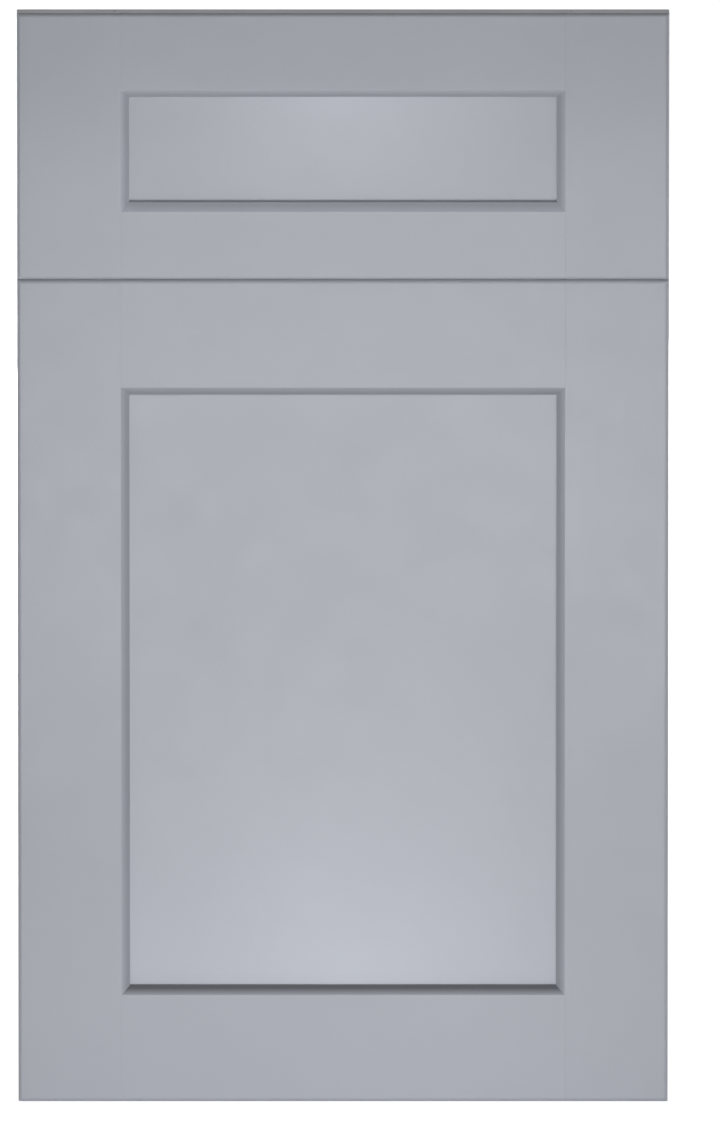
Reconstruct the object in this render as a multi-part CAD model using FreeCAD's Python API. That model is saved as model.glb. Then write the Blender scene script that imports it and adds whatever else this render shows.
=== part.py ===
"""A kitchen cabinet front: a framed door with a framed drawer front butted on top of it.

Each of the two has two stiles, two rails and a thin flat panel that sits in grooves.
The rails are coped over the stiles and hold in them by stub tenons.
A cleat is screwed across both backs and makes the two one front.
Behind its left side are bores for two cup hinges, and behind its right two bumpers.

+X is to the right seen from the front, the front faces -Y, and +Z is up.
The origin is the middle of the bottom edge, in the plane of the frames' backs.
All sizes are in millimetres.
"""

import os

import FreeCAD
import Part

# the whole front
front_width = 454.0
door_height = 583.5
drawer_front_height = 188.0
frame_thickness = 19.0

# stiles and rails, each from its outer edge to the edge beside the panel
stile_width = 78.0
door_rail_width = 82.0
drawer_top_rail_width = 59.5
drawer_bottom_rail_width = 54.0

# edges: the rounded outer front edge, the dulled outer back edge, the inner bevel
front_edge_radius = 3.0
back_edge_radius = 0.5
bevel_width = 5.8
bevel_depth = 5.8

# panels, and the grooves that hold them
panel_thickness = 6.0
panel_recess = 9.5
groove_depth = 10.0
groove_play = 0.2
panel_end_gap = 1.5
tenon_end_gap = 0.5

# bores for the cup hinges, with two pilot holes beside each
cup_radius = 17.5
cup_depth = 12.5
cup_from_side = 22.5
cup_from_end = 100.0
pilot_radius = 1.25
pilot_depth = 10.0
pilot_spacing = 45.0
pilot_from_cup = 9.5

# the cleat across the joint
cleat_thickness = 19.0
cleat_from_side = 46.0
cleat_from_rail_edge = 10.0
cleat_chamfer = 2.0

# countersunk screws through the cleat
screws_in_row = 4
screw_radius = 2.0
screw_length = 32.0
screw_head_radius = 4.0
screw_head_rim = 0.4
screw_tip_length = 4.0
screw_sunk = 0.3
screw_hole_play = 0.25
screw_bite_play = 0.02
recess_arm = 2.2
recess_width = 0.8
recess_depth = 1.6

# bumpers on the back, at the two corners away from the hinges
bumper_radius = 4.75
bumper_height = 3.0
bumper_base = 0.8
bumper_from_edge = 12.0

# worked out from the sizes above
front_face_y = -frame_thickness
half_width = front_width / 2
front_height = door_height + drawer_front_height
groove_width = panel_thickness + groove_play
groove_floor_from_side = stile_width - groove_depth

right = FreeCAD.Vector(1, 0, 0)
left = FreeCAD.Vector(-1, 0, 0)
back = FreeCAD.Vector(0, 1, 0)
up = FreeCAD.Vector(0, 0, 1)
down = FreeCAD.Vector(0, 0, -1)


def frame_section(width):
    """Outline of a stile or rail: distance in from its outer edge, depth from the front face."""
    groove_floor = width - groove_depth
    groove_back = panel_recess + groove_width
    return [
        (0, 0),
        (width - bevel_width, 0),
        (width, bevel_depth),
        (width, panel_recess),
        (groove_floor, panel_recess),
        (groove_floor, groove_back),
        (width, groove_back),
        (width, frame_thickness),
        (0, frame_thickness),
    ]


def frame_bar(width, corner, inward, along, length):
    """A straight bar of the frame section. corner is on its outer edge, on the front face."""
    points = [corner + inward * across + back * depth for across, depth in frame_section(width)]
    outline = Part.makePolygon(points + points[:1])
    return Part.Face(outline).extrude(along * length)


def edges_at_depth(shape, y):
    """The straight edges of a blank that lie in the plane of one face."""
    return [edge for edge in shape.Edges if all(abs(v.Y - y) < 1e-6 for v in edge.Vertexes)]


def eased_blank(bottom, height):
    """The outer form of one front: a slab with its front and back edges eased all round."""
    corner = FreeCAD.Vector(-half_width, front_face_y, bottom)
    slab = Part.makeBox(front_width, frame_thickness, height, corner)
    slab = slab.makeFillet(front_edge_radius, edges_at_depth(slab, front_face_y))
    return slab.makeFillet(back_edge_radius, edges_at_depth(slab, 0))


def make_stiles(bottom, height):
    """The left and right stile as grooved bars, as long as the front is high."""
    left_corner = FreeCAD.Vector(-half_width, front_face_y, bottom)
    right_corner = FreeCAD.Vector(half_width, front_face_y, bottom)
    return (
        frame_bar(stile_width, left_corner, right, up, height),
        frame_bar(stile_width, right_corner, left, up, height),
    )


def make_rail(width, edge_height, inward, stiles):
    """A rail coped to the stiles, with a stub tenon at each end that enters their grooves."""
    reach = half_width - groove_floor_from_side - tenon_end_gap
    corner = FreeCAD.Vector(-reach, front_face_y, edge_height)
    return frame_bar(width, corner, inward, right, 2 * reach).cut(list(stiles))


def make_panel(bottom, top):
    """The flat panel, bearing on the grooves' front walls. bottom and top are its sight edges."""
    reach = half_width - groove_floor_from_side - panel_end_gap
    in_groove = groove_depth - panel_end_gap
    corner = FreeCAD.Vector(-reach, front_face_y + panel_recess, bottom - in_groove)
    return Part.makeBox(2 * reach, panel_thickness, top - bottom + 2 * in_groove, corner)


def make_front(name, bottom, height, bottom_rail_width, top_rail_width):
    """The five pieces of one framed front, by node name."""
    top = bottom + height
    blank = eased_blank(bottom, height)
    stiles = make_stiles(bottom, height)
    bottom_rail = make_rail(bottom_rail_width, bottom, up, stiles)
    top_rail = make_rail(top_rail_width, top, down, stiles)
    return {
        name + "_stile_left": stiles[0].common(blank),
        name + "_stile_right": stiles[1].common(blank),
        name + "_rail_bottom": bottom_rail.common(blank),
        name + "_rail_top": top_rail.common(blank),
        name + "_panel": make_panel(bottom + bottom_rail_width, top - top_rail_width),
    }


def bore(x, z, radius, depth):
    """A round hole of that depth, drilled forward from the frames' back plane."""
    return Part.makeCylinder(radius, depth, FreeCAD.Vector(x, 0, z), -back)


def hinge_bores(height):
    """The cup bore and the two pilot holes of one hinge, on the left stile."""
    cup_x = cup_from_side - half_width
    pilot_x = cup_x + pilot_from_cup
    cup = bore(cup_x, height, cup_radius, cup_depth)
    pilots = [
        bore(pilot_x, height + side * pilot_spacing / 2, pilot_radius, pilot_depth) for side in (-1, 1)
    ]
    return [cup, *pilots]


def screw_row_places(height):
    """Where one row of cleat screws goes: the end ones in solid stile, the rest evenly between."""
    end_x = half_width - (cleat_from_side + groove_floor_from_side) / 2
    step = 2 * end_x / (screws_in_row - 1)
    return [FreeCAD.Vector(-end_x + i * step, cleat_thickness, height) for i in range(screws_in_row)]


def turned(outline):
    """A solid turned about the Y axis from (radius, distance forward) points."""
    points = [FreeCAD.Vector(radius, -forward, 0) for radius, forward in outline]
    return Part.Face(Part.makePolygon(points + points[:1])).revolve(FreeCAD.Vector(), back, 360)


def make_screw(place):
    """A countersunk wood screw with a cross recess, its head just below the cleat's back."""
    cone_start = screw_sunk + screw_head_rim
    cone_end = cone_start + screw_head_radius - screw_radius
    tip = screw_sunk + screw_length
    body = turned(
        [
            (0, screw_sunk),
            (screw_head_radius, screw_sunk),
            (screw_head_radius, cone_start),
            (screw_radius, cone_end),
            (screw_radius, tip - screw_tip_length),
            (0, tip),
        ]
    )
    recess_front = -screw_sunk - recess_depth
    long_arm = FreeCAD.Vector(-recess_arm, recess_front, -recess_width / 2)
    tall_arm = FreeCAD.Vector(-recess_width / 2, recess_front, -recess_arm)
    cross = Part.makeBox(2 * recess_arm, recess_depth, recess_width, long_arm).fuse(
        Part.makeBox(recess_width, recess_depth, 2 * recess_arm, tall_arm)
    )
    screw = body.cut(cross)
    screw.translate(place)
    return screw


def cleat_hole(place):
    """The hole that one screw passes through in the cleat, with a countersink that its head fills."""
    mouth = screw_head_radius + screw_head_rim + screw_sunk
    neck = screw_radius + screw_hole_play
    hole = turned(
        [(0, 0), (mouth, 0), (neck, mouth - neck), (neck, cleat_thickness), (0, cleat_thickness)]
    )
    hole.translate(place)
    return hole


def screw_bite(place):
    """The hole that one screw fills in the frames behind the cleat."""
    depth = screw_sunk + screw_length - cleat_thickness
    return bore(place.x, place.z, screw_radius + screw_bite_play, depth)


def make_cleat(bottom, top, holes):
    """The cleat across both backs, its arrises on the far side chamfered."""
    reach = half_width - cleat_from_side
    blank = Part.makeBox(2 * reach, cleat_thickness, top - bottom, FreeCAD.Vector(-reach, 0, bottom))
    chamfered = blank.makeChamfer(cleat_chamfer, edges_at_depth(blank, cleat_thickness))
    return chamfered.cut(holes)


def make_bumper(height):
    """A soft domed button stuck to the back of the right side."""
    rim = FreeCAD.Vector(bumper_radius, bumper_base, 0)
    crown = FreeCAD.Vector(0, bumper_height, 0)
    rise = bumper_height - bumper_base
    dome_radius = (bumper_radius**2 + rise**2) / (2 * rise)
    shoulder_x = bumper_radius / 2
    shoulder_y = bumper_height - dome_radius + (dome_radius**2 - shoulder_x**2) ** 0.5
    outline = Part.Wire(
        [
            Part.makeLine(FreeCAD.Vector(), FreeCAD.Vector(bumper_radius, 0, 0)),
            Part.makeLine(FreeCAD.Vector(bumper_radius, 0, 0), rim),
            Part.Arc(rim, FreeCAD.Vector(shoulder_x, shoulder_y, 0), crown).toShape(),
            Part.makeLine(crown, FreeCAD.Vector()),
        ]
    )
    bumper = Part.Face(outline).revolve(FreeCAD.Vector(), back, 360)
    bumper.translate(FreeCAD.Vector(half_width - bumper_from_edge, 0, height))
    return bumper


def make_nodes():
    """Every piece of the front, by node name."""
    nodes = make_front("door", 0, door_height, door_rail_width, door_rail_width)
    nodes.update(
        make_front(
            "drawer", door_height, drawer_front_height, drawer_bottom_rail_width, drawer_top_rail_width
        )
    )

    cleat_bottom = door_height - door_rail_width + cleat_from_rail_edge
    cleat_top = door_height + drawer_bottom_rail_width - cleat_from_rail_edge
    lower_places = screw_row_places((cleat_bottom + door_height) / 2)
    upper_places = screw_row_places((door_height + cleat_top) / 2)
    places = lower_places + upper_places

    bites = [screw_bite(place) for place in places]
    for name in ("door_rail_top", "drawer_rail_bottom"):
        nodes[name] = nodes[name].cut(bites)
    for name in ("door_stile_left", "door_stile_right", "drawer_stile_left", "drawer_stile_right"):
        nodes[name] = nodes[name].cut(bites)

    cups = hinge_bores(cup_from_end) + hinge_bores(front_height - cup_from_end)
    for name in ("door_stile_left", "drawer_stile_left"):
        nodes[name] = nodes[name].cut(cups)

    nodes["rear_cleat"] = make_cleat(cleat_bottom, cleat_top, [cleat_hole(place) for place in places])
    nodes["cleat_screws_lower"] = Part.makeCompound([make_screw(place) for place in lower_places])
    nodes["cleat_screws_upper"] = Part.makeCompound([make_screw(place) for place in upper_places])

    bumper_heights = [bumper_from_edge, front_height - bumper_from_edge]
    nodes["bumpers"] = Part.makeCompound([make_bumper(height) for height in bumper_heights])
    return nodes


os.makedirs("parts", exist_ok=True)
for node_name, shape in make_nodes().items():
    shape.exportStep(f"parts/{node_name}.step")
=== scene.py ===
# A kitchen cabinet front in satin grey paint: a framed door, with a framed drawer front butted on top of it
import math

import bmesh
import bpy
import numpy as np
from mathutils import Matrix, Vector


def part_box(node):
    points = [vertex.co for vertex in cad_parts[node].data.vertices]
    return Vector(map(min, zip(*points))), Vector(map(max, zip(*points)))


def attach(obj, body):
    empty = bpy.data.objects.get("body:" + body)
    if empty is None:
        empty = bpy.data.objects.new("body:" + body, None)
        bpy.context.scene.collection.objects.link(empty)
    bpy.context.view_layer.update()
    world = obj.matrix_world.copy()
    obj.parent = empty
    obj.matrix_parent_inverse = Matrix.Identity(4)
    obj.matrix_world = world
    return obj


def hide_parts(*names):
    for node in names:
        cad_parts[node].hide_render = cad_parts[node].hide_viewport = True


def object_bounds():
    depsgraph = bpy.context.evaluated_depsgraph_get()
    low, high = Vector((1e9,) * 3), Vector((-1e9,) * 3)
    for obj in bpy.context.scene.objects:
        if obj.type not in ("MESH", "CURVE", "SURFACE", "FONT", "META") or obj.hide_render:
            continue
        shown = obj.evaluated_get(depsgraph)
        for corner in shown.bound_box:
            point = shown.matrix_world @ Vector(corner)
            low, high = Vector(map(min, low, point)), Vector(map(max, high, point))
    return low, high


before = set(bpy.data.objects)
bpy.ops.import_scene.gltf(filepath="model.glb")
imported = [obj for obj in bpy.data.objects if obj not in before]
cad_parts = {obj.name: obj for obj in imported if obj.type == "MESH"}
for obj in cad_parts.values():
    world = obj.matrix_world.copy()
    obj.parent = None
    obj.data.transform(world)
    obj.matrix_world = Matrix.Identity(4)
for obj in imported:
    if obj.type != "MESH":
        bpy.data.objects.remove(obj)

cadLow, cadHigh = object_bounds()
mm = 0.001  # the sizes of the shapes are in millimetres, and those of the stage and the patterns in metres
print("frame loaded:", len(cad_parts), "nodes")


# camera

cameraSettings = dict(
    lens=1000.0,  # mm; very long, because the photograph's outline is a true rectangle
    elevation=10.5,  # degrees above level: lower bevels look wider than upper ones, and the top edge shows
    pictureSize=(720, 1140),  # pixels of the photograph
    middlePixel=(343.0, 559.5),  # where the middle of both fronts together lies in it
    widthPixels=651.2,  # what their width takes in it
)


def makeCamera():
    s = cameraSettings
    low, high = np.array(cadLow), np.array(cadHigh)
    pixel = (high[0] - low[0]) / s["widthPixels"]
    tilt = math.radians(s["elevation"])
    towards = Vector((0, math.cos(tilt), -math.sin(tilt)))
    up = Vector((0, math.sin(tilt), math.cos(tilt)))
    # the aim is the fronts' middle, moved by as many pixels as the picture's middle lies from it
    sideways = (s["pictureSize"][0] / 2 - s["middlePixel"][0]) * pixel
    downwards = (s["pictureSize"][1] / 2 - s["middlePixel"][1]) * pixel
    middle = Vector(((low[0] + high[0]) / 2, low[1], (low[2] + high[2]) / 2))
    aim = middle + Vector((sideways, 0, 0)) - up * downwards
    data = bpy.data.cameras.new("camera")
    data.lens = s["lens"]
    # the sensor's width lies along the picture's long side
    away = s["pictureSize"][1] * pixel * s["lens"] / data.sensor_width
    data.clip_start, data.clip_end = 0.1, 3 * away
    camera = bpy.data.objects.new("camera", data)
    bpy.context.collection.objects.link(camera)
    camera.location = aim - towards * away
    camera.rotation_mode = "QUATERNION"
    camera.rotation_quaternion = towards.to_track_quat("-Z", "Y")
    bpy.context.scene.camera = camera
    print("camera stands", round(away, 2), "m away")


makeCamera()


# small helpers for materials

def newMaterial(name):
    material = bpy.data.materials.new(name)
    material.use_nodes = True
    return material, material.node_tree, material.node_tree.nodes["Principled BSDF"]


def addNode(tree, kind, **values):
    node = tree.nodes.new(kind)
    for key, value in values.items():
        setattr(node, key, value)
    return node


def feed(tree, socket, value):
    # a socket is linked, and a plain number, vector or colour is written on it
    if isinstance(value, bpy.types.NodeSocket):
        tree.links.new(value, socket)
    elif value is not None:
        socket.default_value = value


def mathNode(tree, operation, first, second=None, third=None):
    node = addNode(tree, "ShaderNodeMath", operation=operation)
    for socket, value in zip(node.inputs, (first, second, third)):
        feed(tree, socket, value)
    return node.outputs[0]


def vectorNode(tree, operation, first, second=None):
    node = addNode(tree, "ShaderNodeVectorMath", operation=operation)
    for socket, value in zip(node.inputs, (first, second)):
        feed(tree, socket, value)
    return node.outputs["Value" if operation == "LENGTH" else "Vector"]


def noise(tree, vector, scale, detail=2.0, roughness=0.5):
    node = addNode(tree, "ShaderNodeTexNoise")
    for name, value in dict(Vector=vector, Scale=scale, Detail=detail, Roughness=roughness).items():
        feed(tree, node.inputs[name], value)
    return node.outputs[0]


def remap(tree, value, fromMin, fromMax, toMin=0.0, toMax=1.0, smooth=False):
    node = addNode(tree, "ShaderNodeMapRange")
    if smooth:
        node.interpolation_type = "SMOOTHERSTEP"
    for socket, given in zip(node.inputs, (value, fromMin, fromMax, toMin, toMax)):
        feed(tree, socket, given)
    return node.outputs[0]


def spread(tree, value, low, high):
    # a noise lies mostly between 0.3 and 0.7, and that middle is stretched to reach from low to high
    return remap(tree, value, 0.3, 0.7, low, high)


def mixColour(tree, factor, first, second, blend="MIX"):
    node = addNode(tree, "ShaderNodeMix", data_type="RGBA", blend_type=blend)
    for socket, value in zip((node.inputs[0], node.inputs[6], node.inputs[7]), (factor, first, second)):
        feed(tree, socket, value)
    return node.outputs[2]


def mixNumber(tree, factor, first, second):
    node = addNode(tree, "ShaderNodeMix", data_type="FLOAT")
    for socket, value in zip((node.inputs[0], node.inputs[2], node.inputs[3]), (factor, first, second)):
        feed(tree, socket, value)
    return node.outputs[0]


def separate(tree, vector):
    node = addNode(tree, "ShaderNodeSeparateXYZ")
    tree.links.new(vector, node.inputs[0])
    return node.outputs


def objectSpace(tree, location=(0, 0, 0), rotation=(0, 0, 0), scale=(1, 1, 1)):
    # object coordinates, centred, turned or stretched by a Mapping node
    coordinate = addNode(tree, "ShaderNodeTexCoord")
    mapping = addNode(tree, "ShaderNodeMapping")
    tree.links.new(coordinate.outputs["Object"], mapping.inputs["Vector"])
    for name, value in dict(Location=location, Rotation=rotation, Scale=scale).items():
        mapping.inputs[name].default_value = value
    return mapping.outputs[0]


def newGroup(name, inputs, outputs):
    tree = bpy.data.node_groups.new(name, "ShaderNodeTree")
    for direction, sockets in (("INPUT", inputs), ("OUTPUT", outputs)):
        for label, kind in sockets.items():
            tree.interface.new_socket(name=label, in_out=direction, socket_type="NodeSocket" + kind)
    return tree, tree.nodes.new("NodeGroupInput").outputs, tree.nodes.new("NodeGroupOutput").inputs


def floats(*names):
    # sockets that hold one number each
    return {name: "Float" for name in names}


def useGroup(tree, group, **values):
    node = addNode(tree, "ShaderNodeGroup", node_tree=group)
    for name, value in values.items():
        feed(tree, node.inputs[name], value)
    return node.outputs


# stage: a wide pale floor and a white world

stageSettings = dict(
    floorSize=60.0,  # m
    floorGap=0.2 * mm,  # below the foot
    floorColour=(0.82, 0.82, 0.83, 1),
    floorRoughness=0.9,
    # the floor also gives off light that lights nothing, so that it reads as white: liftNear up to the start
    # of liftReach (m from the middle), where the shadow lies, and liftFar from its end outwards
    liftNear=0.75,
    liftFar=1.0,
    liftReach=(0.2, 0.9),
    skyAbove=0.03,  # light from straight overhead
    skyLevel=0.07,  # light from the horizon
    skyColour=(1, 1, 1, 1),
)


def seenDirectly(tree):
    # 1 for a camera, mirror or glass ray, and 0 for the rays that light the object
    path = addNode(tree, "ShaderNodeLightPath")
    direct = mathNode(tree, "MAXIMUM", path.outputs["Is Camera Ray"], path.outputs["Is Glossy Ray"])
    return mathNode(tree, "MAXIMUM", direct, path.outputs["Is Transmission Ray"])


def makeFloor():
    s = stageSettings
    half = s["floorSize"] / 2
    height = cadLow[2] - s["floorGap"]
    corners = [(-half, -half, height), (half, -half, height), (half, half, height), (-half, half, height)]
    mesh = bpy.data.meshes.new("floor")
    mesh.from_pydata(corners, [], [(0, 1, 2, 3)])
    floor = bpy.data.objects.new("floor", mesh)
    bpy.context.collection.objects.link(floor)
    material, tree, shader = newMaterial("floor")
    shader.inputs["Base Color"].default_value = s["floorColour"]
    shader.inputs["Roughness"].default_value = s["floorRoughness"]
    shader.inputs["Emission Color"].default_value = (1, 1, 1, 1)
    away = vectorNode(tree, "LENGTH", objectSpace(tree))
    lift = remap(tree, away, *s["liftReach"], s["liftNear"], s["liftFar"], smooth=True)
    feed(tree, shader.inputs["Emission Strength"], mathNode(tree, "MULTIPLY", seenDirectly(tree), lift))
    mesh.materials.append(material)


def makeWorld():
    s = stageSettings
    world = bpy.data.worlds.new("studio")
    bpy.context.scene.world = world
    world.use_nodes = True
    tree = world.node_tree
    background = tree.nodes["Background"]
    background.inputs["Color"].default_value = s["skyColour"]
    # the sky dims from the horizon to overhead: its strength follows the height of the ray
    direction = addNode(tree, "ShaderNodeTexCoord").outputs["Generated"]
    sky = remap(tree, separate(tree, direction)["Z"], 0.0, 1.0, s["skyLevel"], s["skyAbove"])
    tree.links.new(mixNumber(tree, seenDirectly(tree), sky, 1.0), background.inputs["Strength"])


# a long low softbox gives the front most of its light, so the faces that look up stay dark; a weaker one
# hangs higher, and the others stand behind the front's plane and below its top, for the back and the sides
lampSettings = dict(
    low=dict(place=(0.12, -1.7, 0.10), size=(1.2, 0.14), watts=13.0),
    high=dict(place=(0.15, -2.4, 1.5), size=(0.8, 0.5), watts=14.1),
    rear=dict(place=(-0.7, 2.8, 0.38), size=(2.0, 0.7), watts=34.0),
    left=dict(place=(-2.6, 2.4, 0.38), size=(0.6, 0.7), watts=40.0),
    right=dict(place=(2.6, 1.0, 0.38), size=(0.6, 0.7), watts=14.0),
)


def makeLamps():
    aim = Vector((0, 0, (cadLow[2] + cadHigh[2]) / 2))
    for name, s in lampSettings.items():
        data = bpy.data.lights.new(name, "AREA")
        data.shape = "RECTANGLE"
        data.size, data.size_y = s["size"]
        data.energy = s["watts"]
        lamp = bpy.data.objects.new(name + "Lamp", data)
        bpy.context.collection.objects.link(lamp)
        lamp.location = s["place"]
        lamp.rotation_mode = "QUATERNION"
        lamp.rotation_quaternion = (aim - Vector(s["place"])).to_track_quat("-Z", "Y")
        lamp.visible_camera = False


makeFloor()
makeWorld()
makeLamps()
bpy.context.scene.view_settings.view_transform = "Standard"
print("stage, world and lamps made")


# node groups that several materials use

paintPattern = dict(
    broadScale=9.0, fineScale=60.0, fineShare=0.35,  # the mottling
    dullScale=35.0, dullSpread=0.10,  # clouds in the gloss
    rippleScale=480.0,
    grainStretch=(16.0, 620.0, 620.0), poreStart=0.46, poreFull=0.30,  # pores lie where the noise is low
)


def makePaintSurface():
    # sprayed paint: broad soft mottling, the fine ripple of spray, and grain that shows faintly through it.
    # The coordinate comes in metres with the grain along X.
    s = paintPattern
    tree, given, out = newGroup(
        "paintSurface",
        dict(Coordinate="Vector", Colour="Color", **floats("Mottle", "Gloss", "Ripple", "Grain")),
        dict(Colour="Color", Roughness="Float", Height="Float"),
    )
    where = given["Coordinate"]
    broad = spread(tree, noise(tree, where, s["broadScale"], detail=3.0), -1.0, 1.0)
    fine = spread(tree, noise(tree, where, s["fineScale"]), -1.0, 1.0)
    shade = mathNode(tree, "MULTIPLY_ADD", fine, s["fineShare"], broad)
    level = mathNode(tree, "MULTIPLY_ADD", shade, given["Mottle"], 1.0)
    tree.links.new(mixColour(tree, 1.0, given["Colour"], level, "MULTIPLY"), out["Colour"])
    cloud = noise(tree, where, s["dullScale"], detail=3.0)
    dull = mathNode(tree, "MULTIPLY_ADD", cloud, s["dullSpread"], given["Gloss"])
    tree.links.new(mathNode(tree, "SUBTRACT", dull, s["dullSpread"] / 2), out["Roughness"])
    spray = noise(tree, where, s["rippleScale"], detail=1.0)
    ripple = mathNode(tree, "MULTIPLY", spray, given["Ripple"])
    drawn = vectorNode(tree, "MULTIPLY", where, s["grainStretch"])
    fibres = noise(tree, drawn, 1.0, detail=3.0, roughness=0.6)
    pores = remap(tree, fibres, s["poreStart"], s["poreFull"])
    grain = mathNode(tree, "MULTIPLY", pores, given["Grain"])
    tree.links.new(mathNode(tree, "SUBTRACT", ripple, grain), out["Height"])
    return tree


def makeSoftPatch():
    # the mask of a panel's painted highlight: (1 - distance) to the power Fall, 1 in the middle of a patch
    # and
    # 0 past its rim. The coordinate comes in patch radii from its middle.
    tree, given, out = newGroup("softPatch", dict(Coordinate="Vector", Fall="Float"), floats("Mask"))
    near = remap(tree, vectorNode(tree, "LENGTH", given["Coordinate"]), 1.0, 0.0)
    tree.links.new(mathNode(tree, "POWER", near, given["Fall"]), out["Mask"])
    return tree


def makeRecessShade():
    # painted shade and painted highlight across the bevels: a change of tone, with its own values below,
    # above and beside the panel. The side's value holds from the panel's edge out to Core, goes over to the
    # side's Rim value at Rim, and fades to none at Reach. Negative is darker, a painted shade, and positive
    # is lighter, a painted highlight. The coordinate comes in metres from the opening's middle, and faces
    # behind
    # Depth keep their tone.
    tree, given, out = newGroup(
        "recessShade",
        dict(
            Coordinate="Vector", HalfSize="Vector", **floats("Depth", "Core", "Rim", "Reach"),
            **floats("Below", "Above", "Beside", "BelowRim", "AboveRim", "BesideRim"),
        ),
        floats("Tone"),
    )
    here = separate(tree, given["Coordinate"])
    distance = vectorNode(tree, "ABSOLUTE", given["Coordinate"])
    past = separate(tree, vectorNode(tree, "SUBTRACT", distance, given["HalfSize"]))
    away = mathNode(tree, "MAXIMUM", past["X"], past["Z"])
    below = mathNode(tree, "LESS_THAN", here["Z"], 0.0)
    beside = mathNode(tree, "GREATER_THAN", past["X"], past["Z"])
    inner = mixNumber(tree, below, given["Above"], given["Below"])
    inner = mixNumber(tree, beside, inner, given["Beside"])
    outer = mixNumber(tree, below, given["AboveRim"], given["BelowRim"])
    outer = mixNumber(tree, beside, outer, given["BesideRim"])
    change = mixNumber(tree, remap(tree, away, given["Core"], given["Rim"]), inner, outer)
    front = mathNode(tree, "LESS_THAN", here["Y"], given["Depth"])
    within = mathNode(tree, "MULTIPLY", remap(tree, away, given["Rim"], given["Reach"], 1.0, 0.0), front)
    tree.links.new(mathNode(tree, "MULTIPLY_ADD", change, within, 1.0), out["Tone"])
    return tree


def makeFrontPaintedLight():
    # painted light and shade over both fronts: a broad drift of tone, the product of two. Upwards it is Foot
    # at the bottom edge, 1 from FootEnd to TopStart, and Top from TopEnd. Aside, measured from Middle, it is
    # 1 up to SideStart and Side from SideEnd.
    tree, given, out = newGroup(
        "frontPaintedLight",
        dict(
            Coordinate="Vector", **floats("Foot", "FootEnd", "TopStart", "TopEnd", "Top"),
            **floats("Middle", "SideStart", "SideEnd", "Side"),
        ),
        floats("Tone"),
    )
    here = separate(tree, given["Coordinate"])
    foot = remap(tree, here["Z"], 0.0, given["FootEnd"], given["Foot"], 1.0, smooth=True)
    top = remap(tree, here["Z"], given["TopStart"], given["TopEnd"], 1.0, given["Top"], smooth=True)
    aside = mathNode(tree, "ABSOLUTE", mathNode(tree, "SUBTRACT", here["X"], given["Middle"]))
    side = remap(tree, aside, given["SideStart"], given["SideEnd"], 1.0, given["Side"], smooth=True)
    upright = mathNode(tree, "MULTIPLY", foot, top)
    tree.links.new(mathNode(tree, "MULTIPLY", upright, side), out["Tone"])
    return tree


woodPattern = dict(
    wanderStretch=(2.4, 6.0, 6.0), wanderReach=0.035,
    ringPower=2.5, ringEnd=0.9,  # share of a ring at which its dark end starts to fade
    fibreStretch=(22.0, 1500.0, 1500.0),
    poreStretch=(60.0, 2600.0, 2600.0), poreStart=0.36, poreFull=0.28, poreShare=0.5,
    earlyRoughness=0.62, lateRoughness=0.5,
)


def makeWoodGrain():
    # unpainted wood: growth rings about an axis along X that wander a little, fine fibres, and dark pores. A
    # ring darkens outwards as (share of the way through it) to the power ringPower.
    s = woodPattern
    tree, given, out = newGroup(
        "woodGrain",
        dict(Coordinate="Vector", Early="Color", Late="Color", **floats("Spacing", "Fibre")),
        dict(Colour="Color", Roughness="Float", Height="Float"),
    )
    where = given["Coordinate"]
    slow = noise(tree, vectorNode(tree, "MULTIPLY", where, s["wanderStretch"]), 1.0)
    wander = mathNode(tree, "MULTIPLY", mathNode(tree, "SUBTRACT", slow, 0.5), s["wanderReach"])
    across = vectorNode(tree, "LENGTH", vectorNode(tree, "MULTIPLY", where, (0.0, 1.0, 1.0)))
    turns = mathNode(tree, "DIVIDE", mathNode(tree, "ADD", across, wander), given["Spacing"])
    through = mathNode(tree, "FRACT", turns)
    # the dark late wood ends at once, so the last stretch of each ring fades back
    fade = remap(tree, through, 1.0, s["ringEnd"])
    late = mathNode(tree, "MULTIPLY", mathNode(tree, "POWER", through, s["ringPower"]), fade)
    drawn = vectorNode(tree, "MULTIPLY", where, s["fibreStretch"])
    fibres = noise(tree, drawn, 1.0, detail=3.0, roughness=0.6)
    dots = noise(tree, vectorNode(tree, "MULTIPLY", where, s["poreStretch"]), 1.0)
    pores = remap(tree, dots, s["poreStart"], s["poreFull"])
    share = mathNode(tree, "MULTIPLY_ADD", spread(tree, fibres, -0.5, 0.5), given["Fibre"], late)
    wood = mixColour(tree, share, given["Early"], given["Late"])
    darkened = mathNode(tree, "MULTIPLY", pores, s["poreShare"])
    tree.links.new(mixColour(tree, darkened, wood, given["Late"], "MULTIPLY"), out["Colour"])
    tree.links.new(remap(tree, late, 0.0, 1.0, s["earlyRoughness"], s["lateRoughness"]), out["Roughness"])
    tree.links.new(mathNode(tree, "SUBTRACT", fibres, pores), out["Height"])
    return tree


paintSurface = makePaintSurface()
softPatch = makeSoftPatch()
recessShade = makeRecessShade()
frontPaintedLight = makeFrontPaintedLight()
woodGrain = makeWoodGrain()
print("node groups made")


# materials

paintSettings = dict(
    colour=(0.396, 0.415, 0.462, 1),  # a cool mid grey
    gloss=0.42,  # roughness of the satin finish
    specular=0.45,
    mottle=0.012,
    ripple=0.5,
    frameGrain=0.6,
    panelGrain=0.0,  # the panels are fibreboard
    bumpDepth=0.012 * mm,
)
# each panel has one painted highlight, a lighter patch of painted sheen: middle is where it lies across
# and up the opening, as shares, reach is in metres, light is how much lighter the paint is there, and
# fall the power by which that falls off
panelHighlights = dict(
    door=dict(middle=(0.5, 0.0), reach=(0.28, 0.28), light=1.38, fall=1.3),
    drawer=dict(middle=(0.5, 1.0), reach=(0.17, 0.10), light=1.38, fall=1.3),
)
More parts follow.
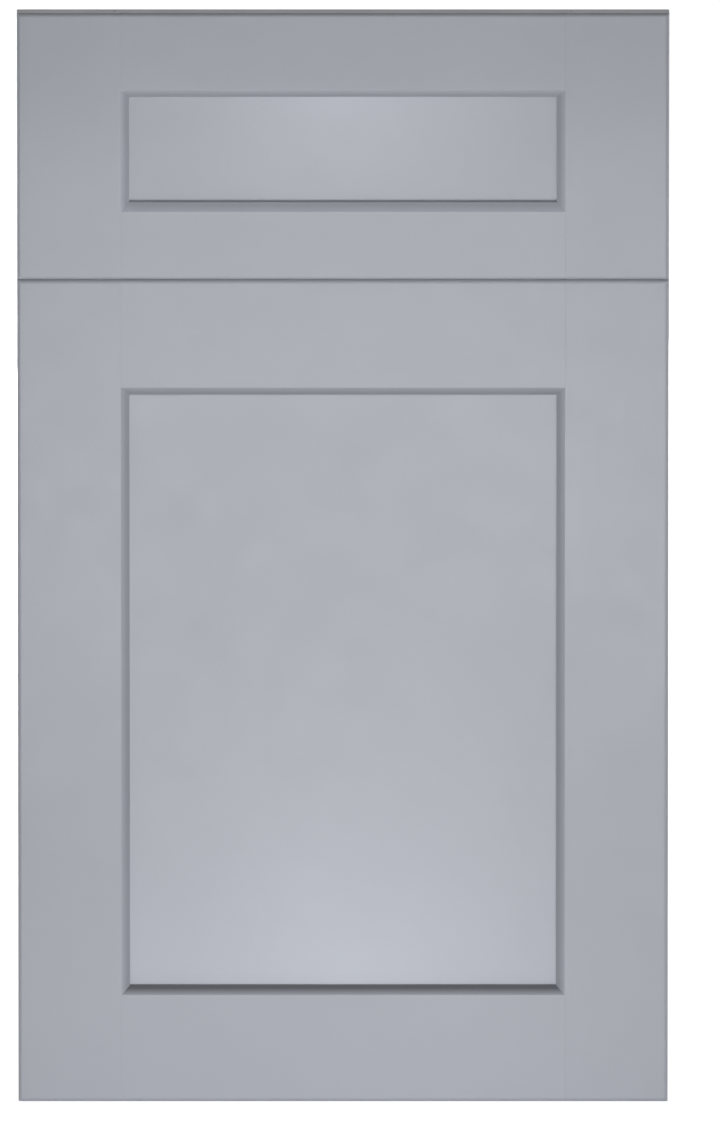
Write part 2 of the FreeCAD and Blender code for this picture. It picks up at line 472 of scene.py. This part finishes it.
# painted shade makes the paint darker in most bevels, above all below the door's panel, and a painted
# highlight makes it lighter on most outer rims
recessShades = dict(
    door=dict(Below=-0.73, BelowRim=-0.08, Above=-0.24, AboveRim=0.02, Beside=-0.17, BesideRim=0.12),
    drawer=dict(Below=0.14, BelowRim=0.42, Above=-0.05, AboveRim=0.30, Beside=-0.04, BesideRim=0.30),
)
shadeReach = dict(Depth=-9.0 * mm, Core=1.8 * mm, Rim=5.5 * mm, Reach=6.3 * mm)  # for both fronts
# painted light and shade over both fronts: lighter at the foot, darker at the top and at the sides
paintedLightSettings = dict(
    Foot=1.14, FootEnd=0.24, TopStart=0.62, TopEnd=0.77, Top=0.87,
    Middle=-0.03, SideStart=0.06, SideEnd=0.30, Side=0.92,
)


def addBump(tree, shader, height, depth):
    bump = addNode(tree, "ShaderNodeBump")
    bump.inputs["Distance"].default_value = depth
    tree.links.new(height, bump.inputs["Height"])
    tree.links.new(bump.outputs[0], shader.inputs["Normal"])


def opening(front):
    # the rectangle between a front's stiles and rails: its middle and half its size
    left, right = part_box(front + "_stile_left")[1][0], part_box(front + "_stile_right")[0][0]
    bottom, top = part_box(front + "_rail_bottom")[1][2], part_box(front + "_rail_top")[0][2]
    return ((left + right) / 2, 0, (bottom + top) / 2), ((right - left) / 2, 0, (top - bottom) / 2)


def makePaint(front, upright, panel=False):
    s = paintSettings
    kind = "Panel" if panel else "Upright" if upright else "Cross"
    material, tree, shader = newMaterial(front + kind + "Paint")
    along = objectSpace(tree, rotation=(0, math.radians(90) if upright else 0, 0))
    paint = useGroup(
        tree, paintSurface, Coordinate=along, Colour=s["colour"], Mottle=s["mottle"], Gloss=s["gloss"],
        Ripple=s["ripple"], Grain=s["panelGrain" if panel else "frameGrain"],
    )
    middle, half = opening(front)
    # painted light and shade: lighter at the foot, darker towards the top and the sides
    tone = useGroup(tree, frontPaintedLight, Coordinate=objectSpace(tree), **paintedLightSettings)["Tone"]
    if panel:
        # a painted highlight on the panel, standing for a sheen
        highlight = panelHighlights[front]
        centre = [middle[i] + half[i] * (2 * share - 1) for i, share in zip((0, 2), highlight["middle"])]
        scale = (1 / highlight["reach"][0], 0, 1 / highlight["reach"][1])  # the same at every depth
        where = objectSpace(tree, location=(-centre[0] * scale[0], 0, -centre[1] * scale[2]), scale=scale)
        mask = useGroup(tree, softPatch, Coordinate=where, Fall=highlight["fall"])["Mask"]
        change = remap(tree, mask, 0.0, 1.0, 1.0, highlight["light"])
    else:
        # painted shade in the bevels, and a painted highlight on their outer rims
        where = objectSpace(tree, location=[-value for value in middle])
        change = useGroup(
            tree, recessShade, Coordinate=where, HalfSize=half, **shadeReach, **recessShades[front]
        )["Tone"]
    tone = mathNode(tree, "MULTIPLY", tone, change)
    tree.links.new(mixColour(tree, 1.0, paint["Colour"], tone, "MULTIPLY"), shader.inputs["Base Color"])
    tree.links.new(paint["Roughness"], shader.inputs["Roughness"])
    shader.inputs["Specular IOR Level"].default_value = s["specular"]
    addBump(tree, shader, paint["Height"], s["bumpDepth"])
    return material


# the two unpainted woods: pith is the middle of the log. The cleat's lies well off its face, so that its
# rings open into long tongues.
woodSettings = dict(
    cleatWood=dict(
        early=(0.66, 0.47, 0.27, 1), late=(0.42, 0.25, 0.12, 1), spacing=3.2 * mm, fibre=0.5,
        pith=(0, -0.085, 0.592), upright=False, roughened=-0.12,
    ),
    rawWood=dict(
        early=(0.68, 0.54, 0.37, 1), late=(0.50, 0.36, 0.22, 1), spacing=2.2 * mm, fibre=0.7,
        pith=(0.31, 0.03, 0), upright=True, roughened=0.2,
    ),
)
woodBump = 0.05 * mm


def makeWood(name):
    s = woodSettings[name]
    material, tree, shader = newMaterial(name)
    x, y, z = s["pith"]
    if s["upright"]:
        where = objectSpace(tree, location=(-z, -y, x), rotation=(0, math.radians(90), 0))
    else:
        where = objectSpace(tree, location=(-x, -y, -z))
    wood = useGroup(
        tree, woodGrain, Coordinate=where, Early=s["early"], Late=s["late"], Spacing=s["spacing"],
        Fibre=s["fibre"],
    )
    tree.links.new(wood["Colour"], shader.inputs["Base Color"])
    tree.links.new(mathNode(tree, "ADD", wood["Roughness"], s["roughened"]), shader.inputs["Roughness"])
    addBump(tree, shader, wood["Height"], woodBump)
    return material


zincSettings = dict(
    dark=(0.36, 0.37, 0.38, 1), bright=(0.58, 0.57, 0.54, 1), cloudScale=420.0,
    roughness=(0.24, 0.42), wearScale=900.0,
    bumpScale=2600.0, bumpDepth=0.01 * mm,
)


def makeZinc():
    # bright zinc plate: cloudy, and finely uneven
    s = zincSettings
    material, tree, shader = newMaterial("zincPlate")
    where = objectSpace(tree)
    colour = mixColour(tree, noise(tree, where, s["cloudScale"], detail=3.0), s["dark"], s["bright"])
    tree.links.new(colour, shader.inputs["Base Color"])
    shader.inputs["Metallic"].default_value = 1.0
    worn = spread(tree, noise(tree, where, s["wearScale"]), *s["roughness"])
    tree.links.new(worn, shader.inputs["Roughness"])
    addBump(tree, shader, noise(tree, where, s["bumpScale"]), s["bumpDepth"])
    return material


rubberSettings = dict(
    dark=(0.66, 0.68, 0.69, 1), bright=(0.80, 0.81, 0.80, 1), cloudScale=300.0,
    roughness=(0.14, 0.24), wearScale=700.0,
    transmission=0.3, ior=1.46, scattered=0.5, scatterReach=2 * mm,
)


def makeClearRubber():
    # clear soft plastic, milky with use: half of its light is scattered inside it
    s = rubberSettings
    material, tree, shader = newMaterial("clearRubber")
    where = objectSpace(tree)
    colour = mixColour(tree, noise(tree, where, s["cloudScale"]), s["dark"], s["bright"])
    tree.links.new(colour, shader.inputs["Base Color"])
    worn = spread(tree, noise(tree, where, s["wearScale"]), *s["roughness"])
    tree.links.new(worn, shader.inputs["Roughness"])
    shader.inputs["Transmission Weight"].default_value = s["transmission"]
    shader.inputs["IOR"].default_value = s["ior"]
    shader.inputs["Subsurface Weight"].default_value = s["scattered"]
    shader.inputs["Subsurface Scale"].default_value = s["scatterReach"]
    return material


uprightPaint = {front: makePaint(front, upright=True) for front in ("door", "drawer")}
crossPaint = {front: makePaint(front, upright=False) for front in ("door", "drawer")}
panelPaint = {front: makePaint(front, upright=front == "door", panel=True) for front in ("door", "drawer")}
cleatWood = makeWood("cleatWood")
rawWood = makeWood("rawWood")
zincPlate = makeZinc()
clearRubber = makeClearRubber()
print("materials made")


# shapes worked out with numpy

arcSteps = 7  # straight steps in each rounded corner
proud = 1.0  # mm that a cutter stands out past a face that it enters
mergeReach = 0.0002 * mm
sharpAngle = 34  # degrees; edges that turn by less are shaded smooth


def boxMillimetres(node):
    low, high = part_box(node)
    return np.array(low) / mm, np.array(high) / mm


def ringGrid(x, y, z):
    # coordinates over (ring, point), each of them spread to the whole grid
    return np.stack(np.broadcast_arrays(x, y, z), axis=-1)


def roundedPath(corners):
    # each corner (x, y, radius) becomes an arc that touches both of its sides: its middle lies on the
    # corner's bisector, radius / cos(half the turn) away, and its spokes turn evenly between the two sides
    data = np.array(corners, float)
    points, radii = data[:, :2], data[:, 2:]
    before = points - np.roll(points, 1, axis=0)
    before /= np.linalg.norm(before, axis=1, keepdims=True)
    after = np.roll(before, -1, axis=0)
    turn = np.arccos(np.clip((before * after).sum(1, keepdims=True), -1, 1))
    bisector = (after - before) / np.linalg.norm(after - before, axis=1, keepdims=True)
    centre = points + bisector * radii / np.cos(turn / 2)
    first = points - before * radii * np.tan(turn / 2) - centre
    last = points + after * radii * np.tan(turn / 2) - centre
    share = np.linspace(0, 1, arcSteps + 1)[None, :, None]
    turn, centre, first, last = (part[:, None] for part in (turn, centre, first, last))
    arcs = centre + (np.sin((1 - share) * turn) * first + np.sin(share * turn) * last) / np.sin(turn)
    path = arcs.reshape(-1, 2)
    return path[np.linalg.norm(path - np.roll(path, 1, axis=0), axis=1) > 1e-6]


def edgeDrop(radius, run):
    # how far a rounded edge has dropped at a distance run in from it, which is
    # radius - sqrt(radius^2 - (radius - run)^2)
    short = np.clip(radius - run, 0, radius)
    return radius - np.sqrt(radius**2 - short**2)


def makeMesh(name, rings, materials):
    # closed outlines carried along a path, in millimetres: quads join each ring to the next, and the first
    # and last rings are closed by caps
    stations, points = rings.shape[:2]
    numbers = np.arange(stations * points).reshape(stations, points)
    onward = np.roll(numbers, -1, axis=1)
    sides = np.stack([numbers[:-1], onward[:-1], onward[1:], numbers[1:]], axis=-1).reshape(-1, 4)
    caps = numbers[[0, -1]].tolist()
    mesh = bpy.data.meshes.new(name)
    mesh.from_pydata((rings.reshape(-1, 3) * mm).tolist(), [], sides.tolist() + caps)
    for material in materials:
        mesh.materials.append(material)
    tidyMesh(mesh)
    piece = bpy.data.objects.new(name, mesh)
    bpy.context.collection.objects.link(piece)
    return piece


def tidyMesh(mesh):
    # doubles are merged, faces point outwards, and only real arrises stay sharp
    work = bmesh.new()
    work.from_mesh(mesh)
    bmesh.ops.remove_doubles(work, verts=work.verts, dist=mergeReach)
    bmesh.ops.recalc_face_normals(work, faces=work.faces)
    work.to_mesh(mesh)
    work.free()
    mesh.shade_smooth()
    mesh.set_sharp_from_angle(angle=math.radians(sharpAngle))


def turnedRings(outline, places, steps):
    # a (radius, depth) outline turned about a line along Y, with depth towards -Y: one closed set of rings
    # for each place
    angle = np.linspace(0, 2 * np.pi, steps, endpoint=False)
    outline = np.array(outline, float)
    radius, depth = outline[:, :1], outline[:, 1:]
    circle = ringGrid(radius * np.cos(angle), -depth, radius * np.sin(angle))
    return [circle + np.array(where) for where in places]


def mergePieces(pieces):
    # the first piece takes the meshes of the others, whose objects go with their meshes
    work = bmesh.new()
    for piece in pieces:
        work.from_mesh(piece.data)
    work.to_mesh(pieces[0].data)
    work.free()
    for piece in pieces[1:]:
        bpy.data.meshes.remove(piece.data)
    return pieces[0]


def joinedPiece(name, ringSets, materials):
    return mergePieces([makeMesh(name, rings, materials) for rings in ringSets])


def cutAway(piece, cutter):
    # the cut faces take the cutter's own material
    modifier = piece.modifiers.new("cut", "BOOLEAN")
    modifier.operation = "DIFFERENCE"
    modifier.solver = "EXACT"
    modifier.material_mode = "TRANSFER"
    modifier.object = cutter
    graph = bpy.context.evaluated_depsgraph_get()
    cut = bpy.data.meshes.new_from_object(piece.evaluated_get(graph), depsgraph=graph)
    piece.modifiers.clear()
    piece.data = cut
    tidyMesh(cut)
    bpy.data.meshes.remove(cutter.data)


def dress(piece, node):
    # flat faces keep flat shading beside their rounded edges, and the piece takes the node's place
    modifier = piece.modifiers.new("flatFaces", "WEIGHTED_NORMAL")
    modifier.keep_sharp = True
    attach(piece, "root")
    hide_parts(node)


# stiles and rails

frameSettings = dict(
    bevel=5.8,  # mm, width and depth of the bevel beside the panel
    groove=10.0,  # depth of the groove that takes the panel and the tenons
    grooveWidth=6.2,
    outerRadius=3.0,  # rounded front edge
    backRadius=0.5,
    cornerRadius=0.9,  # the four corners, seen from the front
    arris=0.9,  # where the bevel leaves the front face
    bevelFoot=0.6,
    smallArris=0.25,
    tenonPlay=0.04,  # on each face of a tenon
    copeReach=10.0,  # by which a cope's bar is longer than both fronts at each end
)
thickness = -cadLow[1] / mm  # the backs lie at 0
recess = (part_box("door_panel")[0][1] - cadLow[1]) / mm
stileWidth = boxMillimetres("door_stile_left")[1][0] - cadLow[0] / mm


def memberSection(width):
    # outline of a stile or rail: distance in from its outer edge, depth from the front face
    s = frameSettings
    floor, back = width - s["groove"], recess + s["grooveWidth"]
    return roundedPath([
        (0, 0, s["outerRadius"]),
        (width - s["bevel"], 0, s["arris"]),
        (width, s["bevel"], s["bevelFoot"]),
        (width, recess, s["smallArris"]),
        (floor, recess, 0),
        (floor, back, 0),
        (width, back, s["smallArris"]),
        (width, thickness, s["backRadius"]),
        (0, thickness, s["backRadius"]),
    ])


def copeSection():
    # what a stile takes out of a rail's end: the same section without roundings, and proud of the front, the
    # back and the outer edge
    s = frameSettings
    floor = stileWidth - s["groove"]
    front, back = recess + s["tenonPlay"], recess + s["grooveWidth"] - s["tenonPlay"]
    return np.array([
        (-proud, -proud),
        (stileWidth - s["bevel"] - proud, -proud),
        (stileWidth, s["bevel"]),
        (stileWidth, front),
        (floor, front),
        (floor, back),
        (stileWidth, back),
        (stileWidth, thickness + proud),
        (-proud, thickness + proud),
    ])


def stationsAlong(length):
    # positions along a stile, close together on its rounded ends
    s = frameSettings
    curve = 1 - np.cos(np.linspace(0, np.pi / 2, arcSteps + 1))
    radii = np.array([s["outerRadius"], s["backRadius"], s["cornerRadius"]])
    ends = np.outer(radii, curve).ravel()
    return np.unique(np.concatenate([ends, length - ends]).round(5))


def makeStile(front, side):
    # the section carried upwards; at each end the front, back and outer faces drop as rounded edges
    s = frameSettings
    low, high = boxMillimetres(f"{front}_stile_{side}")
    inward, depth = memberSection(high[0] - low[0]).T
    up = stationsAlong(high[2] - low[2])[:, None]
    run = np.minimum(up, up[-1] - up)
    depth = np.clip(depth, edgeDrop(s["outerRadius"], run), thickness - edgeDrop(s["backRadius"], run))
    inward = np.maximum(inward, edgeDrop(s["cornerRadius"], run))
    x = low[0] + inward if side == "left" else high[0] - inward
    rings = ringGrid(x, depth - thickness, low[2] + up)
    return makeMesh(front + "Stile" + side.title(), rings, [uprightPaint[front], rawWood])


def makeCope(side, paint):
    # a long bar of the stile's section, to cut a rail's end with
    half, reach = cadHigh[0] / mm, frameSettings["copeReach"]
    inward, depth = copeSection().T
    heights = np.array([cadLow[2] / mm - reach, cadHigh[2] / mm + reach])[:, None]
    x = inward - half if side == "left" else half - inward
    return makeMesh("cope", ringGrid(x, depth - thickness, heights), [paint])


def makeRail(front, edge):
    # the section carried across, tenons and all, then both ends coped over the stiles
    low, high = boxMillimetres(f"{front}_rail_{edge}")
    inward, depth = memberSection(high[2] - low[2]).T
    across = np.array([low[0], high[0]])[:, None]
    z = low[2] + inward if edge == "bottom" else high[2] - inward
    rings = ringGrid(across, depth - thickness, z)
    piece = makeMesh(front + "Rail" + edge.title(), rings, [crossPaint[front]])
    for side in ("left", "right"):
        cutAway(piece, makeCope(side, crossPaint[front]))
    return piece


boreSettings = dict(
    cupRadius=17.5, cupDepth=12.5, cupFromSide=22.5, cupFromEnd=100.0,
    cupFlare=0.2,  # the mouth is broken a little
    spurRing=0.35, spurDepth=0.3,  # the ring that the bit's spurs leave round the floor
    pointRadius=1.3, pointDepth=1.2,  # and the dimple of its point
    pilotRadius=1.25, pilotDepth=10.0, pilotSpacing=45.0, pilotFromCup=9.5,
    pilotFlare=0.1, pilotPoint=0.7,
    biteRadius=2.02, biteDepth=13.3,  # the cleat's screws in the frames
    tipRadius=0.05,  # of the small flat that closes a pointed end
    cupSteps=96, holeSteps=28,
)


def cupOutline():
    s = boreSettings
    r, flare, depth, ring = s["cupRadius"], s["cupFlare"], s["cupDepth"], s["spurRing"]
    return [
        (r + flare, -proud),
        (r + flare, 0),
        (r, flare),
        (r, depth + s["spurDepth"]),
        (r - ring, depth + s["spurDepth"]),
        (r - 2 * ring, depth),
        (s["pointRadius"], depth),
        (s["tipRadius"], depth + s["pointDepth"]),
    ]


def pilotOutline():
    s = boreSettings
    r, flare, depth = s["pilotRadius"], s["pilotFlare"], s["pilotDepth"]
    return [
        (r + flare, -proud),
        (r + flare, 0),
        (r, flare),
        (r, depth - s["pilotPoint"]),
        (s["tipRadius"], depth),
    ]


def hingeCutter():
    # both cup bores and their pilot holes, drilled forward from the back of the left side
    s = boreSettings
    x = cadLow[0] / mm + s["cupFromSide"]
    heights = (s["cupFromEnd"], cadHigh[2] / mm - s["cupFromEnd"])
    cups = [(x, 0, z) for z in heights]
    half = s["pilotSpacing"] / 2
    pilots = [(x + s["pilotFromCup"], 0, z + step) for z in heights for step in (-half, half)]
    shapes = turnedRings(cupOutline(), cups, s["cupSteps"])
    shapes += turnedRings(pilotOutline(), pilots, s["holeSteps"])
    return joinedPiece("hingeCutter", shapes, [rawWood])


def biteCutter(places):
    # the holes that the cleat's screws fill in the frames
    s = boreSettings
    outline = [(s["biteRadius"], -proud), (s["biteRadius"], s["biteDepth"])]
    mouths = [(x, 0, z) for x, y, z in places]
    return joinedPiece("biteCutter", turnedRings(outline, mouths, s["holeSteps"]), [rawWood])


# the cleat and its screws

cleatSettings = dict(
    chamfer=2.0,
    chamferArris=0.35,
    frontArris=0.3,
    mouthRadius=4.7,  # countersink at the back face
    neckRadius=2.25,
    holeSteps=40,
)
screwSettings = dict(
    perRow=4,
    length=32.0,
    sunk=0.3,  # of the head below the cleat's face
    headRadius=4.0, headRim=0.4, headEdge=0.15,
    shankRadius=2.0, plainShank=9.0, plainStep=0.15,  # the plain shank is thinner than the thread
    neckStart=0.3, neckEnd=0.35,  # round where the cone meets the shank
    coreRadius=1.35, pitch=1.8, toothWidth=0.55,  # the tooth's width as a share of the pitch
    runIn=0.6,  # from the plain shank to the thread
    tipLength=4.0, tipPower=0.6,
    middleRadius=0.02,  # of the small flat that closes the head
    steps=36, threadRings=122,
    recessArm=2.2, recessWidth=0.8, recessDepth=1.6,
    recessLevels=(-0.4, 0.0, 0.75, 1.0),  # shares of its depth
    recessSizes=(1.0, 1.0, 0.75, 0.42),  # and of its outline there
    turnStep=0.7,  # radians from one screw to the next
)


def screwPlaces():
    # two rows of screws: the end ones in solid stile, midway between its groove and the cleat's end, and the
    # others evenly between
    low, high = boxMillimetres("rear_cleat")
    joint = boxMillimetres("door_rail_top")[1][2]
    grooveFloor = cadHigh[0] / mm - stileWidth + frameSettings["groove"]
    endX = (grooveFloor + high[0]) / 2
    columns = np.linspace(-endX, endX, screwSettings["perRow"])
    lower, upper = (low[2] + joint) / 2, (joint + high[2]) / 2
    return [[(x, high[1], z) for x in columns] for z in (lower, upper)]


def slabRings(low, high, profile):
    # a board as a stack of rectangles: the profile gives (inset, depth) from one face to the other
    inset, y = np.array(profile, float).T[:, :, None]
    x = np.concatenate([low[0] + inset, high[0] - inset, high[0] - inset, low[0] + inset], axis=1)
    z = np.concatenate([low[2] + inset, low[2] + inset, high[2] - inset, high[2] - inset], axis=1)
    return ringGrid(x, y, z)


def boardProfile(front, back, frontCorner, backCorners):
    # the rounded path of a board's edge between its two faces. It is closed well inside the board for the
    # rounding, and those two points are then left out.
    inside = 5.0
    path = roundedPath([(inside, front, 0), (0, front, frontCorner), *backCorners, (inside, back, 0)])
    return path[path[:, 0] < inside - 1e-6]


def makeCleat(places):
    s = cleatSettings
    low, high = boxMillimetres("rear_cleat")
    corners = [(0, high[1] - s["chamfer"], s["chamferArris"]), (s["chamfer"], high[1], s["chamferArris"])]
    profile = boardProfile(low[1], high[1], s["frontArris"], corners)
    piece = makeMesh("rearCleat", slabRings(low, high, profile), [cleatWood])
    mouth, neck = s["mouthRadius"], s["neckRadius"]
    outline = [(mouth + proud, -proud), (neck, mouth - neck), (neck, high[1] + proud)]
    cutAway(piece, joinedPiece("cleatCutter", turnedRings(outline, places, s["holeSteps"]), [cleatWood]))
    return piece


def crossCutter(where, turn):
    # a cross that narrows as it goes down: the outline's arms shrink from level to level
    s = screwSettings
    arm, half = s["recessArm"], s["recessWidth"] / 2
    quarter = np.array([(arm, -half), (arm, half), (half, half)])
    angles = turn + np.arange(4) * np.pi / 2
    spin = np.array([[np.cos(angles), -np.sin(angles)], [np.sin(angles), np.cos(angles)]])
    outline = np.einsum("ija,pj->api", spin, quarter).reshape(-1, 2)
    depth = np.array(s["recessLevels"]) * s["recessDepth"] + s["sunk"]
    size = np.array(s["recessSizes"])[:, None]
    rings = ringGrid(outline[:, 0] * size, -depth[:, None], outline[:, 1] * size)
    return makeMesh("crossCutter", rings + np.array(where), [zincPlate])


def screwRings(turn):
    # head, plain shank, thread and tip. Below the plain shank the radius is core + height of tooth, and the
    # tooth stands where depth / pitch - angle / full turn, a number of turns, is halfway between two whole
    # ones. Towards the tip the core narrows as (share of tipLength that is left) to the power tipPower.
    s = screwSettings
    top, rim = s["sunk"], s["sunk"] + s["headRim"]
    neck = rim + s["headRadius"] - s["shankRadius"]
    tip = top + s["length"]
    threadStart = top + s["plainShank"]
    plain = s["shankRadius"] - s["plainStep"]
    head = np.array([
        (s["middleRadius"], top),
        (s["headRadius"] - s["headEdge"], top),
        (s["headRadius"], top + s["headEdge"]),
        (s["headRadius"], rim),
        (s["shankRadius"] + s["neckStart"], neck - s["neckStart"]),
        (plain, neck + s["neckEnd"]),
        (plain, threadStart - s["runIn"]),
    ])
    down = np.linspace(threadStart, tip, s["threadRings"])
    angle = np.linspace(0, 2 * np.pi, s["steps"], endpoint=False)
    left = np.clip((tip - down) / s["tipLength"], 0, 1)
    core = s["coreRadius"] * left ** s["tipPower"]
    fade = left * np.clip((down - threadStart) / s["pitch"], 0, 1)
    turns = down[:, None] / s["pitch"] - (angle + turn) / (2 * np.pi)
    tooth = np.clip(1 - np.abs(turns % 1 - 0.5) / (s["toothWidth"] / 2), 0, 1)
    radius = core[:, None] + (s["shankRadius"] - s["coreRadius"]) * fade[:, None] * tooth
    radius = np.vstack([np.tile(head[:, :1], s["steps"]), radius])
    depth = np.concatenate([head[:, 1], down])[:, None]
    return ringGrid(radius * np.cos(angle), -depth, radius * np.sin(angle))


def makeScrews(name, places, firstTurn):
    # every screw stops at its own angle
    made = []
    for index, where in enumerate(places):
        turn = firstTurn + screwSettings["turnStep"] * index
        screw = makeMesh(name, screwRings(turn) + np.array(where), [zincPlate])
        cutAway(screw, crossCutter(where, turn))
        made.append(screw)
    return mergePieces(made)


# bumpers and panels

bumperSettings = dict(
    radius=4.75, height=3.0, base=0.8, lip=0.25,
    fromEdge=12.0,
    domeStart=0.12, domeEnd=0.01,  # radians up the dome from its rim, and short of its middle
    footMiddle=0.02,  # radius of the small flat that closes the foot
    domeRings=22, steps=64,
)
panelSettings = dict(arris=0.3)


def makeBumpers():
    # a low cylinder under a dome of radius (r^2 + rise^2) / (2 rise), its foot broken by a small chamfer
    s = bumperSettings
    rise = s["height"] - s["base"]
    dome = (s["radius"] ** 2 + rise**2) / (2 * rise)
    across = s["radius"] * np.cos(np.linspace(s["domeStart"], np.pi / 2 - s["domeEnd"], s["domeRings"]))
    crown = np.stack([across, -(s["height"] - dome + np.sqrt(dome**2 - across**2))], axis=1)
    rim, lip = s["radius"], s["lip"] / 2
    foot = np.array([(s["footMiddle"], 0), (rim - lip, 0), (rim, -lip), (rim, -s["base"])])
    outline = np.vstack([foot, crown])
    x = cadHigh[0] / mm - s["fromEdge"]
    places = [(x, 0, s["fromEdge"]), (x, 0, cadHigh[2] / mm - s["fromEdge"])]
    return joinedPiece("bumperPair", turnedRings(outline, places, s["steps"]), [clearRubber])


def makePanel(front):
    low, high = boxMillimetres(front + "_panel")
    arris = panelSettings["arris"]
    profile = boardProfile(low[1], high[1], arris, [(0, high[1], arris)])
    return makeMesh(front + "Panel", slabRings(low, high, profile), [panelPaint[front]])


def makeFronts(places):
    # both fronts: two stiles, two rails and a panel each
    for front in ("door", "drawer"):
        for side in ("left", "right"):
            piece = makeStile(front, side)
            if side == "left":
                cutAway(piece, hingeCutter())
            cutAway(piece, biteCutter(places))
            dress(piece, f"{front}_stile_{side}")
        for edge in ("bottom", "top"):
            piece = makeRail(front, edge)
            if (front, edge) in (("door", "top"), ("drawer", "bottom")):
                cutAway(piece, biteCutter(places))
            dress(piece, f"{front}_rail_{edge}")
        dress(makePanel(front), front + "_panel")
        print(front, "made")


lowerPlaces, upperPlaces = screwPlaces()
makeFronts(lowerPlaces + upperPlaces)
dress(makeCleat(lowerPlaces + upperPlaces), "rear_cleat")
dress(makeScrews("screwsLower", lowerPlaces, firstTurn=0.3), "cleat_screws_lower")
dress(makeScrews("screwsUpper", upperPlaces, firstTurn=1.1), "cleat_screws_upper")
dress(makeBumpers(), "bumpers")
print("cleat, screws and bumpers made")
